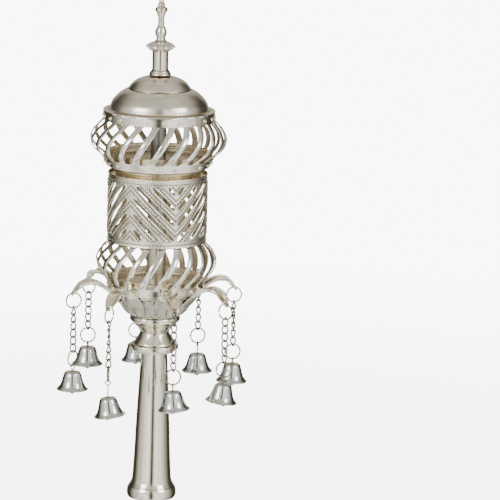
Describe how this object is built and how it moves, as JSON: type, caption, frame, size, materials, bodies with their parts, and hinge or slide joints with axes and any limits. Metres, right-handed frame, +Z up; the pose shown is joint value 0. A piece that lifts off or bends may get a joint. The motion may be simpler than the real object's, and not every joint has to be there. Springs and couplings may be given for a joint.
{
  "type": "torah finial",
  "caption": "Silver-plated Torah finial: a socket handle, a cup with leaf arms and bells on chains, pierced baskets and a pierced drum, and a stepped dome with a turned spire.",
  "frame": {"origin": "on the finial's axis, at the underside of the foot it stands on", "axes": "+Z up along the axis to the spire, -Y towards the viewer (the front), +X to the viewer's right"},
  "size_m": [0.1245, 0.1276, 0.33],
  "materials": {
    "bright_plate": "polished",
    "satin_plate": "satin",
    "chased_plate": "satin",
    "wire": "satin",
    "nickel": "polished",
    "tarnish": "satin"
  },
  "bodies": {
    "root": {"socket_tube": "bright_plate", "socket_collar": "bright_plate", "arm_cup": "satin_plate", "lower_tray": "satin_plate", "lower_basket": "bright_plate", "lower_tube": "satin_plate", "drum": "chased_plate", "drum_cap": "satin_plate", "upper_tray": "satin_plate", "upper_basket": "bright_plate", "upper_tube": "satin_plate", "dome": "satin_plate", "spire_stem": "bright_plate", "spire": "bright_plate", "top_ring_1": "wire", "chain_1": "wire", "lower_ring_1": "wire", "bell_1": "nickel", "clapper_1": "tarnish", "top_ring_2": "wire", "chain_2": "wire", "lower_ring_2": "wire", "bell_2": "nickel", "clapper_2": "tarnish", "top_ring_3": "wire", "chain_3": "wire", "lower_ring_3": "wire", "bell_3": "nickel", "clapper_3": "tarnish", "top_ring_4": "wire", "chain_4": "wire", "lower_ring_4": "wire", "bell_4": "nickel", "clapper_4": "tarnish", "top_ring_5": "wire", "chain_5": "wire", "lower_ring_5": "wire", "bell_5": "nickel", "clapper_5": "tarnish", "top_ring_6": "wire", "chain_6": "wire", "lower_ring_6": "wire", "bell_6": "nickel", "clapper_6": "tarnish", "top_ring_7": "wire", "chain_7": "wire", "lower_ring_7": "wire", "bell_7": "nickel", "clapper_7": "tarnish", "top_ring_8": "wire", "chain_8": "wire", "lower_ring_8": "wire", "bell_8": "nickel", "clapper_8": "tarnish"}
  },
  "joints": []
}
